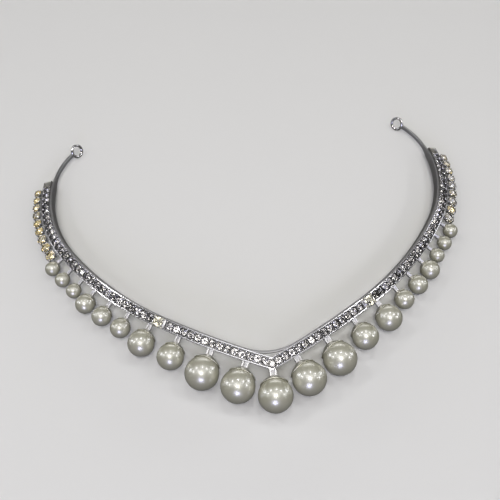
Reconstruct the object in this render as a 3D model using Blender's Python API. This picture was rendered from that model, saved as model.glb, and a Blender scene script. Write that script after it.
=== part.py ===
"""A pearl tiara, lying on a table with its stones facing up.

A narrow hairband runs from loop to loop. A V-fronted channel of round stones is soldered to it,
and a fringe of pearls on short posts, then of small crystals, points outward from the channel.
Lengths below are in millimetres and angles in degrees. The finished meshes are in metres.
"""
import math

import bmesh
import bpy
from mathutils import Matrix, Vector

MM = 0.001
GAP = 0.3

# Plan of one half of the hoop, walked from the tip of the V to the end loop
V_SLOPE = 25.0
ARM_LENGTH, ARM_RADIUS = 35.7, 250.0
FRONT_LENGTH, FRONT_RADIUS = 40.0, 100.0
SIDE_LENGTH, SIDE_RADIUS = 35.0, 45.0
END_RADIUS = 28.0
FLARE = 24.0

# Channel that holds the row of stones
CHANNEL_LENGTH = 109.0
CHANNEL_WIDTH = 3.2
CHANNEL_DEPTH = 2.2
RAIL_WIDTH = 0.4
RAIL_RISE = 0.3
TROUGH_DEPTH = 1.1
END_WALL = 0.5
END_WALL_INSET = 0.1

# Hairband strip on the hollow side of the channel, and the loops at its ends
BAND_LENGTH = 124.6
BAND_THICKNESS = 0.7
BAND_HEIGHT = 2.5
BAND_TOP = -0.1
BAND_LAP = 0.3
BAND_END_HEIGHT = 1.3
BAND_TAPER = 6.0
NOTCH_REACH = 8.5
LOOP_RADIUS = 2.0
LOOP_WIRE = 1.0

# Round stones of the channel, with a table and eight crown facets
STONE_ACROSS = 1.8
STONE_PITCH = 2.3
STONE_CROWN = 0.35
TABLE_SHARE = 0.56
GIRDLE_LEVEL = -0.25
ROW_THICKNESS = 0.55
ROW_MARGIN = 0.05

# Accent stone over the joint at the end of each arm of the V
ACCENT_DIAMETER = 3.0
ACCENT_LEVEL = 0.95
COLLET_WALL = 0.45
COLLET_HEIGHT = 0.9
PRONG_WIDTH = 0.5
PRONG_RISE = 0.45
PRONG_CLEARANCE = 0.05

# Pearls: the centre one, then each side's from the front to the back
CENTRE_PEARL = 10.0
PEARL_TABLE = (
    # diameter, clear gap to the pearl before it
    (10.0, 0.90),
    (10.0, 1.05),
    (8.0, 1.60),
    (8.0, 1.90),
    (6.0, 1.25),
    (6.0, 1.30),
    (6.0, 1.10),
    (4.6, 0.85),
    (4.6, 1.20),
    (4.6, 1.10),
)
PEARL_LEVEL = -0.5
POST_LENGTH = 1.4
POST_WIDTH_SHARE = 0.22
POST_THICKNESS = 0.8
POST_LAP = 0.3
CUP_WALL = 0.45
CUP_ANGLE = 40.0
CUP_SIDES = 8
PEG_DIAMETER = 1.0
PEG_SHARE = 0.45

# Small crystals after the last pearl of each side
CRYSTAL_COUNT = 9
CRYSTAL_FIRST = 3.3
CRYSTAL_LAST = 2.6
CRYSTAL_LEAST_SCALE = 0.4
CRYSTAL_GAP = 0.55
CRYSTAL_LEVEL = 0.15
CRYSTAL_OFFSET = 0.75
SETTING_WALL = 0.35
SETTING_DEPTH_MARGIN = 0.45
SETTING_FOOT_SHARE = 0.45
ARM_BAR_REACH_SHARE = 0.62
ARM_BAR_WIDTH = 1.0
ARM_BAR_THICKNESS = 0.6

# Cut of every loose stone, as shares of its diameter
CROWN_SHARE = 0.16
PAVILION_SHARE = 0.43
GIRDLE_SHARE = 0.03
CUT_SIDES = 8

HALF_WIDTH = CHANNEL_WIDTH / 2
TROUGH_HALF = HALF_WIDTH - RAIL_WIDTH
FLARE_COS = math.cos(math.radians(FLARE))
FLARE_SIN = math.sin(math.radians(FLARE))

# Fineness of the mesh
CHANNEL_STEPS = (6.0, 4.0, 2.8, 2.4)
BAND_STEPS = (3.0, 4.0, 2.8, 2.4)
LOOP_SIDES = 14
WIRE_SIDES = 6
COLLET_SIDES = 12
LARGE_PEARL, LARGE_PEARL_SIDES = 7.0, 14
MEDIUM_PEARL, MEDIUM_PEARL_SIDES = 5.0, 12
SMALL_PEARL_SIDES = 10
HALVINGS = 40
TIP_STEP = 0.01
TILT_LIMIT = 20.0
FLAT_ANGLE = math.radians(1)
SHARP_ANGLE = math.radians(40)


def material(name, colour, roughness, metallic, alpha=1.0):
    made = bpy.data.materials.new(name)
    made.use_nodes = True
    shader = made.node_tree.nodes["Principled BSDF"]
    shader.inputs["Base Color"].default_value = (*colour, 1.0)
    shader.inputs["Roughness"].default_value = roughness
    shader.inputs["Metallic"].default_value = metallic
    shader.inputs["Alpha"].default_value = alpha
    made.diffuse_color = (*colour, alpha)
    return made


def plan(along):
    """The point and the heading of one half of the hoop, in the hoop's own plane."""
    arcs = (
        (ARM_LENGTH, ARM_RADIUS),
        (FRONT_LENGTH, FRONT_RADIUS),
        (SIDE_LENGTH, SIDE_RADIUS),
        (math.inf, END_RADIUS),
    )
    x, y, heading = 0.0, 0.0, math.radians(V_SLOPE)
    for length, radius in arcs:
        step = min(along, length)
        turned = heading + step / radius
        x += radius * (math.sin(turned) - math.sin(heading))
        y += radius * (math.cos(heading) - math.cos(turned))
        heading = turned
        along -= step
        if along <= 0:
            break
    return x, y, heading


class Seat:
    """Axes at one place of the hoop: along it, outward to the pearls, and up from the stones."""

    def __init__(self, along, rounded=False):
        side = -1 if along < 0 else 1
        x, y, heading = plan(abs(along))
        if along == 0 and not rounded:
            heading = 0.0
        if rounded and x < NOTCH_REACH:
            slope = math.tan(math.radians(V_SLOPE))
            y += slope * (NOTCH_REACH - x) ** 2 / (2 * NOTCH_REACH)
            heading = math.atan(math.tan(heading) - slope * (1 - x / NOTCH_REACH))
        self.origin = Vector((side * x, y, 0))
        self.along = Vector((side * math.cos(heading), math.sin(heading), 0))
        radial = Vector((side * math.sin(heading), -math.cos(heading), 0))
        self.out = radial * FLARE_COS + Vector((0, 0, -FLARE_SIN))
        self.up = radial * FLARE_SIN + Vector((0, 0, FLARE_COS))

    def point(self, along, out, up):
        return self.origin + self.along * along + self.out * out + self.up * up


def channel_point(along, out, up):
    """A point of the channel's section, mitred where the two arms meet at the tip."""
    if along != 0:
        return Seat(along).point(0, out, up)
    arm = Seat(TIP_STEP)
    place = arm.point(0, out, up)
    return place - arm.along * (place.x / arm.along.x)


def band_point(along, out, up):
    return Seat(along, rounded=True).point(0, out, up)


def stops(length, steps):
    """Places along the whole hoop, from the left end to the right, closer where it bends more."""
    half = [0.0]
    edges = (ARM_LENGTH, ARM_LENGTH + FRONT_LENGTH, ARM_LENGTH + FRONT_LENGTH + SIDE_LENGTH, math.inf)
    start = 0.0
    for edge, step in zip(edges, steps):
        end = min(edge, length)
        if end <= start:
            break
        count = max(1, round((end - start) / step))
        half += [start + (end - start) * (number + 1) / count for number in range(count)]
        start = end
    return [-place for place in reversed(half[1:])] + half


def new_object(name, mesh_data, finish=None):
    bmesh.ops.recalc_face_normals(mesh_data, faces=mesh_data.faces)
    mesh = bpy.data.meshes.new(name)
    mesh_data.to_mesh(mesh)
    mesh_data.free()
    made = bpy.data.objects.new(name, mesh)
    bpy.context.collection.objects.link(made)
    if finish:
        mesh.materials.append(finish)
    return made


def skin_rings(mesh_data, rings, closed=False):
    """Side faces between rings of vertices, and an end face on each open end."""
    made = [[mesh_data.verts.new(place) for place in ring] for ring in rings]
    pairs = list(zip(made, made[1:]))
    if closed:
        pairs.append((made[-1], made[0]))
    for first, second in pairs:
        count = len(first)
        for number in range(count):
            following = (number + 1) % count
            mesh_data.faces.new((first[number], first[following], second[following], second[number]))
    if not closed:
        mesh_data.faces.new(made[0])
        mesh_data.faces.new(made[-1])


def turned(mesh_data, centre, axis, start, profile, sides):
    """A turned solid. The profile runs from a point on the axis to another, as (along axis, radius)."""
    across = axis.cross(start).normalized()
    rings = []
    for height, radius in profile:
        middle = centre + axis * height
        if radius == 0:
            rings.append([mesh_data.verts.new(middle)])
            continue
        ring = []
        for number in range(sides):
            angle = 2 * math.pi * (number + 0.5) / sides
            ring.append(mesh_data.verts.new(
                middle + start * (radius * math.cos(angle)) + across * (radius * math.sin(angle))))
        rings.append(ring)
    for first, second in zip(rings, rings[1:]):
        for number in range(sides):
            following = (number + 1) % sides
            if len(first) == 1:
                mesh_data.faces.new((first[0], second[following], second[number]))
            elif len(second) == 1:
                mesh_data.faces.new((first[number], first[following], second[0]))
            else:
                mesh_data.faces.new(
                    (first[number], first[following], second[following], second[number]))


def block(name, seat, along, out, up):
    """A box on a seat's axes. Each argument is a pair of limits."""
    mesh_data = bmesh.new()
    rings = []
    for place in along:
        rings.append([seat.point(place, out[0], up[0]), seat.point(place, out[1], up[0]),
                      seat.point(place, out[1], up[1]), seat.point(place, out[0], up[1])])
    skin_rings(mesh_data, rings)
    return new_object(name, mesh_data)


def channel():
    """The V-fronted trough with a raised rail on each side of the stones."""
    floor = -TROUGH_DEPTH
    section = (
        (-HALF_WIDTH, -CHANNEL_DEPTH), (HALF_WIDTH, -CHANNEL_DEPTH), (HALF_WIDTH, RAIL_RISE),
        (TROUGH_HALF, RAIL_RISE), (TROUGH_HALF, floor), (-TROUGH_HALF, floor),
        (-TROUGH_HALF, RAIL_RISE), (-HALF_WIDTH, RAIL_RISE),
    )
    mesh_data = bmesh.new()
    places = stops(CHANNEL_LENGTH, CHANNEL_STEPS)
    skin_rings(mesh_data, [[channel_point(place, *corner) for corner in section] for place in places])
    return new_object("channel", mesh_data)


def channel_end_wall(side):
    """A plate that closes the trough at its end."""
    seat = Seat(side * CHANNEL_LENGTH)
    half = HALF_WIDTH - END_WALL_INSET
    return block("end_wall", seat, (-END_WALL, END_WALL_INSET), (-half, half),
                 (-CHANNEL_DEPTH + END_WALL_INSET, RAIL_RISE - END_WALL_INSET))


def band():
    """The hairband strip: tall beside the channel, lower beyond it, rounded behind the V."""
    inner = -HALF_WIDTH + BAND_LAP - BAND_THICKNESS
    outer = -HALF_WIDTH + BAND_LAP
    middle = BAND_TOP - BAND_HEIGHT / 2
    rings = []
    for place in stops(BAND_LENGTH, BAND_STEPS):
        past = min(1.0, max(0.0, (abs(place) - CHANNEL_LENGTH + BAND_TAPER / 2) / BAND_TAPER))
        half = (BAND_HEIGHT + (BAND_END_HEIGHT - BAND_HEIGHT) * past) / 2
        rings.append([band_point(place, inner, middle - half), band_point(place, outer, middle - half),
                      band_point(place, outer, middle + half), band_point(place, inner, middle + half)])
    mesh_data = bmesh.new()
    skin_rings(mesh_data, rings)
    return new_object("band", mesh_data)


def end_loop(side):
    """A wire ring at the end of the band, standing in the plane of the strip."""
    seat = Seat(side * BAND_LENGTH)
    centre = seat.point(LOOP_RADIUS, -HALF_WIDTH + BAND_LAP - BAND_THICKNESS / 2,
                        BAND_TOP - BAND_HEIGHT / 2)
    rings = []
    for number in range(LOOP_SIDES):
        angle = 2 * math.pi * number / LOOP_SIDES
        spoke = seat.along * math.cos(angle) + seat.up * math.sin(angle)
        ring = []
        for corner in range(WIRE_SIDES):
            turn = 2 * math.pi * (corner + 0.5) / WIRE_SIDES
            ring.append(centre + spoke * (LOOP_RADIUS + LOOP_WIRE / 2 * math.cos(turn))
                        + seat.out * (LOOP_WIRE / 2 * math.sin(turn)))
        rings.append(ring)
    mesh_data = bmesh.new()
    skin_rings(mesh_data, rings, closed=True)
    return new_object("end_loop", mesh_data)


def pearl_reach(diameter):
    return HALF_WIDTH + POST_LENGTH + CUP_WALL + GAP + diameter / 2


def crystal_reach(diameter):
    return HALF_WIDTH + CRYSTAL_OFFSET + diameter / 2


def next_along(before, centre_before, spacing, reach, level):
    """The place along the hoop whose piece lies at the given distance from the one before."""
    low, high = before, before + 3 * spacing
    for _ in range(HALVINGS):
        middle = (low + high) / 2
        if (Seat(middle).point(0, reach, level) - centre_before).length < spacing:
            low = middle
        else:
            high = middle
    return low


def pearl_places():
    """(along, diameter) of each pearl of the right half, the centre one first."""
    places = [(0.0, CENTRE_PEARL)]
    for diameter, gap in PEARL_TABLE:
        along, before = places[-1]
        centre = Seat(along).point(0, pearl_reach(before), PEARL_LEVEL)
        spacing = (before + diameter) / 2 + gap
        along = next_along(max(along, TIP_STEP), centre, spacing, pearl_reach(diameter), PEARL_LEVEL)
        places.append((along, diameter))
    return places


def crystal_run(scale):
    """(along, diameter) of each crystal of the right half, all their diameters scaled alike."""
    along, before = pearl_places()[-1]
    centre = Seat(along).point(0, pearl_reach(before), PEARL_LEVEL)
    places = []
    for number in range(CRYSTAL_COUNT):
        share = number / (CRYSTAL_COUNT - 1)
        diameter = scale * (CRYSTAL_FIRST + (CRYSTAL_LAST - CRYSTAL_FIRST) * share)
        spacing = (before + diameter) / 2 + CRYSTAL_GAP
        along = next_along(along, centre, spacing, crystal_reach(diameter), CRYSTAL_LEVEL)
        places.append((along, diameter))
        centre = Seat(along).point(0, crystal_reach(diameter), CRYSTAL_LEVEL)
        before = diameter
    return places


def room_after(places):
    """The length of channel that a run of crystals leaves before the end wall."""
    along, diameter = places[-1]
    return CHANNEL_LENGTH - END_WALL - along - diameter / 2


def crystal_places():
    """The crystals at full size, or as much smaller as a short channel needs."""
    places = crystal_run(1.0)
    if room_after(places) >= 0:
        return places
    low, high = CRYSTAL_LEAST_SCALE, 1.0
    for _ in range(HALVINGS):
        middle = (low + high) / 2
        if room_after(crystal_run(middle)) < 0:
            high = middle
        else:
            low = middle
    return crystal_run(low)


def pearl_cup(along, diameter):
    """A shallow cup over the pearl's inner side, with the peg that the pearl is glued to."""
    seat = Seat(along)
    radius = diameter / 2
    centre = seat.point(0, pearl_reach(diameter), PEARL_LEVEL)
    flats = 1 / math.cos(math.pi / CUP_SIDES)
    edge = math.radians(CUP_ANGLE)
    inner, outer = (radius + GAP) * flats, (radius + GAP) * flats + CUP_WALL
    peg = PEG_DIAMETER / 2
    profile = [
        (outer, 0), (outer * math.cos(edge / 2), outer * math.sin(edge / 2)),
        (outer * math.cos(edge), outer * math.sin(edge)),
        (inner * math.cos(edge), inner * math.sin(edge)),
        (inner * math.cos(edge / 2), inner * math.sin(edge / 2)),
        (math.sqrt(inner ** 2 - peg ** 2), peg),
        (radius * (1 - PEG_SHARE), peg),
        (radius * (1 - PEG_SHARE), 0),
    ]
    mesh_data = bmesh.new()
    turned(mesh_data, centre, -seat.out, seat.up, profile, CUP_SIDES)
    return new_object("cup", mesh_data)


def pearl_post(along, diameter):
    """The flat post from the channel's outer rail to the cup."""
    seat = Seat(along)
    half = POST_WIDTH_SHARE * diameter / 2
    start = HALF_WIDTH - RAIL_WIDTH / 2
    end = pearl_reach(diameter) - diameter / 2 - GAP - CUP_WALL + POST_LAP
    return block("post", seat, (-half, half), (start, end),
                 (PEARL_LEVEL - POST_THICKNESS / 2, PEARL_LEVEL + POST_THICKNESS / 2))


def crystal_setting(along, diameter):
    """A tapered cup under a crystal and the short bar that carries it."""
    seat = Seat(along)
    radius = diameter / 2
    centre = seat.point(0, crystal_reach(diameter), 0)
    top = CRYSTAL_LEVEL - GAP
    tip = CRYSTAL_LEVEL - PAVILION_SHARE * diameter - SETTING_DEPTH_MARGIN
    inner = radius * (1 - GAP / (PAVILION_SHARE * diameter)) + GAP
    foot = tip - SETTING_WALL
    profile = [
        (foot, 0), (foot, inner * SETTING_FOOT_SHARE), (top, inner + SETTING_WALL), (top, inner), (tip, 0),
    ]
    mesh_data = bmesh.new()
    turned(mesh_data, centre, seat.up, seat.out, profile, CUT_SIDES)
    cup = new_object("setting", mesh_data)
    middle = (top + foot) / 2
    bar_end = crystal_reach(diameter) - inner * ARM_BAR_REACH_SHARE
    bar = block("bar", seat, (-ARM_BAR_WIDTH / 2, ARM_BAR_WIDTH / 2),
                (HALF_WIDTH - RAIL_WIDTH / 2, bar_end),
                (middle - ARM_BAR_THICKNESS / 2, middle + ARM_BAR_THICKNESS / 2))
    return [cup, bar]


def accent_setting(side):
    """The collet over the channel's joint, with four prongs on the rails."""
    seat = Seat(side * ARM_LENGTH)
    radius = ACCENT_DIAMETER / 2
    top = ACCENT_LEVEL - GIRDLE_SHARE * ACCENT_DIAMETER - GAP
    inner, outer = radius - COLLET_WALL / 2, radius + COLLET_WALL / 2
    mesh_data = bmesh.new()
    rings = []
    foot = top - COLLET_HEIGHT
    for number in range(COLLET_SIDES):
        angle = 2 * math.pi * (number + 0.5) / COLLET_SIDES
        ring = []
        for reach, level in ((inner, top), (outer, top), (outer, foot), (inner, foot)):
            ring.append(seat.point(reach * math.cos(angle), reach * math.sin(angle), level))
        rings.append(ring)
    skin_rings(mesh_data, rings, closed=True)
    pieces = [new_object("collet", mesh_data)]
    middle = (radius + GAP + PRONG_WIDTH / 2) * math.sqrt(0.5) + PRONG_CLEARANCE
    half = PRONG_WIDTH / 2
    for along in (-middle, middle):
        for out in (-middle, middle):
            pieces.append(block("prong", seat, (along - half, along + half), (out - half, out + half),
                                (-TROUGH_DEPTH / 2, ACCENT_LEVEL + PRONG_RISE)))
    return pieces


def metal_frame(finish):
    """Everything that is soldered into one piece of metal."""
    pieces = [band()]
    for side in (-1, 1):
        pieces.append(channel_end_wall(side))
        pieces.append(end_loop(side))
        pieces += accent_setting(side)
    for along, diameter in pearl_places():
        for side in (-1, 1) if along else (1,):
            pieces.append(pearl_post(side * along, diameter))
            pieces.append(pearl_cup(side * along, diameter))
    for along, diameter in crystal_places():
        for side in (-1, 1):
            pieces += crystal_setting(side * along, diameter)
    solder = bpy.data.collections.new("solder")
    bpy.context.scene.collection.children.link(solder)
    for piece in pieces:
        bpy.context.collection.objects.unlink(piece)
        solder.objects.link(piece)
    base = channel()
    joined = base.modifiers.new("soldered", "BOOLEAN")
    joined.operation = "UNION"
    joined.operand_type = "COLLECTION"
    joined.collection = solder
    joined.solver = "EXACT"
    joined.use_self = True
    bpy.context.view_layer.update()
    fused = bpy.data.meshes.new_from_object(base.evaluated_get(bpy.context.evaluated_depsgraph_get()))
    for piece in pieces + [base]:
        bpy.data.objects.remove(piece)
    bpy.data.collections.remove(solder)
    fused.materials.clear()
    fused.materials.append(finish)
    made = bpy.data.objects.new("band_frame", fused)
    fused.name = "band_frame"
    bpy.context.collection.objects.link(made)
    return made


def stone_row(name, first, last, finish):
    """A row of round stones on one strip, between two places that are whole pitches apart."""
    half = STONE_ACROSS / 2 + ROW_MARGIN
    bottom = GIRDLE_LEVEL - ROW_THICKNESS
    corners = ((-half, GIRDLE_LEVEL), (half, GIRDLE_LEVEL), (half, bottom), (-half, bottom))
    count = round((last - first) / STONE_PITCH) + 1
    mesh_data = bmesh.new()

    def ring(along):
        return [mesh_data.verts.new(channel_point(along, *corner)) for corner in corners]

    before = ring(first - STONE_PITCH / 2)
    mesh_data.faces.new(before)
    for number in range(count):
        along = first + number * STONE_PITCH
        if abs(along) < STONE_PITCH / 4:
            along = 0.0
        after = ring(along + STONE_PITCH / 2)
        rings = [before, ring(0.0), after] if along == 0 else [before, after]
        for one, two in zip(rings, rings[1:]):
            for start, end in ((1, 2), (2, 3), (3, 0)):
                mesh_data.faces.new((one[start], one[end], two[end], two[start]))
        seat = Seat(along)
        if along < 0:
            seat.along = -seat.along
        radius = STONE_ACROSS / 2 / math.cos(math.pi / CUT_SIDES)
        girdle, table = [], []
        for corner in range(CUT_SIDES):
            angle = 2 * math.pi * (corner + 0.5) / CUT_SIDES
            step, out = math.cos(angle) * radius, math.sin(angle) * radius
            girdle.append(mesh_data.verts.new(seat.point(step, out, GIRDLE_LEVEL)))
            table.append(mesh_data.verts.new(
                seat.point(step * TABLE_SHARE, out * TABLE_SHARE, GIRDLE_LEVEL + STONE_CROWN)))
        for corner in range(CUT_SIDES):
            following = (corner + 1) % CUT_SIDES
            mesh_data.faces.new((girdle[corner], girdle[following], table[following], table[corner]))
        mesh_data.faces.new(table)
        outer_side = [one[1] for one in rings]
        inner_side = [one[0] for one in rings]
        mesh_data.faces.new((girdle[1], girdle[2], *outer_side))
        mesh_data.faces.new((girdle[5], girdle[6], *reversed(inner_side)))
        mesh_data.faces.new((girdle[3], girdle[4], before[0], before[1]))
        mesh_data.faces.new((girdle[7], girdle[0], after[1], after[0]))
        mesh_data.faces.new((girdle[0], girdle[1], after[1]))
        mesh_data.faces.new((girdle[2], girdle[3], before[1]))
        mesh_data.faces.new((girdle[4], girdle[5], before[0]))
        mesh_data.faces.new((girdle[6], girdle[7], after[0]))
        before = after
    mesh_data.faces.new(before)
    return new_object(name, mesh_data, finish)


def stone_rows(finish):
    """The front row between the accents and one row on each side of the hoop."""
    clear = ACCENT_DIAMETER / 2 + COLLET_WALL / 2 + GAP + STONE_PITCH / 2
    arm_count = math.floor((ARM_LENGTH - clear) / STONE_PITCH)
    rows = [stone_row("stone_row_front", -arm_count * STONE_PITCH, arm_count * STONE_PITCH, finish)]
    first = ARM_LENGTH + clear
    room = CHANNEL_LENGTH - END_WALL - GAP - STONE_PITCH / 2 - first
    last = first + math.floor(room / STONE_PITCH) * STONE_PITCH
    rows.append(stone_row("stone_row_left", -last, -first, finish))
    rows.append(stone_row("stone_row_right", first, last, finish))
    return rows


def cut_stone(name, seat, centre, diameter, finish):
    """A round cut stone: table, eight crown facets, girdle and eight pavilion facets."""
    radius = diameter / 2
    girdle = GIRDLE_SHARE * diameter
    profile = [
        (-girdle - PAVILION_SHARE * diameter, 0), (-girdle, radius), (0, radius),
        (CROWN_SHARE * diameter, radius * TABLE_SHARE), (CROWN_SHARE * diameter, 0),
    ]
    mesh_data = bmesh.new()
    turned(mesh_data, centre, seat.up, seat.out, profile, CUT_SIDES)
    bmesh.ops.dissolve_limit(mesh_data, angle_limit=FLAT_ANGLE, verts=mesh_data.verts,
                             edges=mesh_data.edges)
    return new_object(name, mesh_data, finish)


def pearl(name, along, diameter, finish):
    """A pearl, drilled on its inner side for the cup's peg."""
    seat = Seat(along)
    radius = diameter / 2
    hole = PEG_DIAMETER / 2 + GAP
    bottom = radius * (1 - PEG_SHARE) - GAP
    sides = SMALL_PEARL_SIDES
    if diameter > LARGE_PEARL:
        sides = LARGE_PEARL_SIDES
    elif diameter > MEDIUM_PEARL:
        sides = MEDIUM_PEARL_SIDES
    rings = sides // 2
    start = math.asin(hole / radius)
    profile = [(bottom, 0), (bottom, hole)]
    for number in range(rings):
        angle = start + (math.pi - start) * number / rings
        profile.append((radius * math.cos(angle), radius * math.sin(angle)))
    profile.append((-radius, 0))
    mesh_data = bmesh.new()
    turned(mesh_data, seat.point(0, pearl_reach(diameter), PEARL_LEVEL), -seat.out, seat.up, profile, sides)
    made = new_object(name, mesh_data, finish)
    made.data.shade_smooth()
    made.data.set_sharp_from_angle(angle=SHARP_ANGLE)
    return made


def pearls(finish):
    made = []
    for number, (along, diameter) in enumerate(pearl_places()):
        if number == 0:
            made.append(pearl("pearl_centre", along, diameter, finish))
            continue
        for side, word in ((-1, "left"), (1, "right")):
            made.append(pearl(f"pearl_{word}_{number:02d}", side * along, diameter, finish))
    return made


def loose_stones(crystal_finish, accent_finish):
    """The small crystals and the two accent stones."""
    made = []
    for side, word in ((-1, "left"), (1, "right")):
        for number, (along, diameter) in enumerate(crystal_places(), start=1):
            seat = Seat(side * along)
            centre = seat.point(0, crystal_reach(diameter), CRYSTAL_LEVEL)
            made.append(cut_stone(f"crystal_{word}_{number}", seat, centre, diameter, crystal_finish))
        seat = Seat(side * ARM_LENGTH)
        made.append(cut_stone(f"accent_stone_{word}", seat, seat.point(0, 0, ACCENT_LEVEL),
                              ACCENT_DIAMETER, accent_finish))
    return made


def rest_matrix(objects):
    """Tips the hoop until its front and its back touch the table together, and centres it there."""
    places = [corner.co.copy() for made in objects for corner in made.data.vertices]
    middle = sum(place.y for place in places) / len(places)
    low, high = 0.0, math.radians(TILT_LIMIT)
    for _ in range(HALVINGS):
        tilt = (low + high) / 2
        turn = Matrix.Rotation(-tilt, 4, "X")
        front = min((turn @ place).z for place in places if place.y < middle)
        back = min((turn @ place).z for place in places if place.y >= middle)
        if back > front:
            low = tilt
        else:
            high = tilt
    rested = [turn @ place for place in places]
    lows = [min(place[axis] for place in rested) for axis in range(3)]
    highs = [max(place[axis] for place in rested) for axis in range(3)]
    shift = Vector(((lows[0] + highs[0]) / 2, (lows[1] + highs[1]) / 2, lows[2]))
    return Matrix.Scale(MM, 4) @ Matrix.Translation(-shift) @ turn


def main():
    for old in list(bpy.data.objects):
        bpy.data.objects.remove(old)
    silver = material("rhodium_plate", (0.76, 0.76, 0.79), 0.16, 1.0)
    pearl_finish = material("pearl_coat", (0.82, 0.80, 0.73), 0.24, 0.0)
    small_stone = material("channel_stone", (0.90, 0.90, 0.93), 0.05, 0.0)
    crystal = material("crystal", (0.92, 0.90, 0.86), 0.03, 0.0)
    accent = material("accent_crystal", (0.93, 0.89, 0.74), 0.03, 0.0)
    made = [metal_frame(silver)]
    made += stone_rows(small_stone)
    made += pearls(pearl_finish)
    made += loose_stones(crystal, accent)
    rest = rest_matrix(made)
    for piece in made:
        piece.data.transform(rest)


main()
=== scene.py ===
"""The looks of a pearl tiara that lies on a table with its stones facing up.

A V-fronted channel of round stones is soldered to a narrow hairband. Pearls in small cups, and then
small crystals, point outward from the channel. Every piece is worked out on the flat hoop, with the
tip of the V at the origin, +X to the right and +Y to the open end, and is then laid on the floor.
"""
import math

import bmesh
import bpy
from bpy.props import FloatProperty, FloatVectorProperty, IntProperty, PointerProperty
from mathutils import Matrix, Vector


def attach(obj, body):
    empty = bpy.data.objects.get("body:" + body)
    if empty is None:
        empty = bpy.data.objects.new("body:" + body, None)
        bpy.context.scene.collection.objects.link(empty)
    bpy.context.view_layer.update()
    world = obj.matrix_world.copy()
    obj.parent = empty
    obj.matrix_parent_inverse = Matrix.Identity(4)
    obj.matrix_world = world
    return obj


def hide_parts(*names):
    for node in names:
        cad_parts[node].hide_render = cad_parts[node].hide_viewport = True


bl_info = {
    "name": "Pearl Tiara",
    "version": (1, 0, 0),
    "blender": (4, 5, 0),
    "location": "3D View > Sidebar > Tiara",
    "description": "Builds the pieces of a pearl tiara and the stage that it lies on",
    "category": "Object",
}

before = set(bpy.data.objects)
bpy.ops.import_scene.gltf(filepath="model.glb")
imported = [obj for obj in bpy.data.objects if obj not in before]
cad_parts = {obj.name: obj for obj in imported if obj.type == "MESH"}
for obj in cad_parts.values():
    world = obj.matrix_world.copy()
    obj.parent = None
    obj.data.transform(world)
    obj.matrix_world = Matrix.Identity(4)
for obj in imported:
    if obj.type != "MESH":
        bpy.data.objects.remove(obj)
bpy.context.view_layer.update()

MM = 0.001

# Plan of one half of the hoop, walked from the tip of the V to the end loop, and the solids' sizes
V_SLOPE = math.radians(25.0)
ARM_LENGTH, ARM_RADIUS = 35.7 * MM, 250.0 * MM
FRONT_LENGTH, FRONT_RADIUS = 40.0 * MM, 100.0 * MM
SIDE_LENGTH, SIDE_RADIUS = 35.0 * MM, 45.0 * MM
END_RADIUS = 28.0 * MM
FLARE = math.radians(24.0)
GAP = 0.3 * MM
CHANNEL_LENGTH = 109.0 * MM
CHANNEL_WIDTH = 3.2 * MM
HALF_WIDTH = CHANNEL_WIDTH / 2
BAND_LENGTH = 124.6 * MM
BAND_TOP = -0.1 * MM
BAND_HEIGHT = 2.5 * MM
BAND_END_HEIGHT = 1.3 * MM
BAND_THICKNESS = 0.7 * MM
BAND_LAP = 0.3 * MM
BAND_TAPER = 6.0 * MM
NOTCH_REACH = 8.5 * MM
LOOP_RADIUS = 2.0 * MM
END_WALL = 0.5 * MM
GIRDLE_LEVEL = -0.25 * MM
STONE_PITCH = 2.3 * MM
ACCENT_DIAMETER = 3.0 * MM
ACCENT_LEVEL = 0.95 * MM
COLLET_WALL = 0.45 * MM
PEARL_LEVEL = -0.5 * MM
POST_LENGTH = 1.4 * MM
CUP_WALL = 0.45 * MM
CENTRE_PEARL = 10.0 * MM
PEARL_TABLE = (
    # diameter, clear gap to the pearl before it, both in millimetres
    (10.0, 0.90),
    (10.0, 1.05),
    (8.0, 1.60),
    (8.0, 1.90),
    (6.0, 1.25),
    (6.0, 1.30),
    (6.0, 1.10),
    (4.6, 0.85),
    (4.6, 1.20),
    (4.6, 1.10),
)
CRYSTAL_COUNT = 9
CRYSTAL_FIRST, CRYSTAL_LAST = 3.3 * MM, 2.6 * MM
CRYSTAL_GAP = 0.55 * MM
CRYSTAL_LEVEL = 0.15 * MM
CRYSTAL_OFFSET = 0.75 * MM

# The largest step along a swept piece, the distances within which points are merged in the nodes
# and on the finished mesh, and the angles past which an edge stays sharp: on plain pieces, on beads
# and claws, and on round pieces
STOP_STEP = 1.0 * MM
SEAM, WELD = 1e-7, 0.0005 * MM
CREASE, CLAW_CREASE, ROUND_CREASE = math.radians(35), math.radians(50), math.radians(60)

# Where the hoop comes to rest: how far its front is raised, and where the tip of the V lies
REST_TILT = math.radians(3.8827)
TIP_PLACE = Vector((0, -40.1658, 9.0119)) * MM

# The photograph's view, for a picture 500 pixels wide
VIEW_AZIMUTH = math.radians(6.19)
VIEW_ELEVATION = math.radians(56.91)
VIEW_ROLL = math.radians(-0.27)
VIEW_AIM = Vector((-1.6, 1.5, 4.0)) * MM
VIEW_DISTANCE = 222.7 * MM
FOCAL_PIXELS = 700.0
PICTURE_PIXELS = 500.0
SENSOR = 36.0


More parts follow.
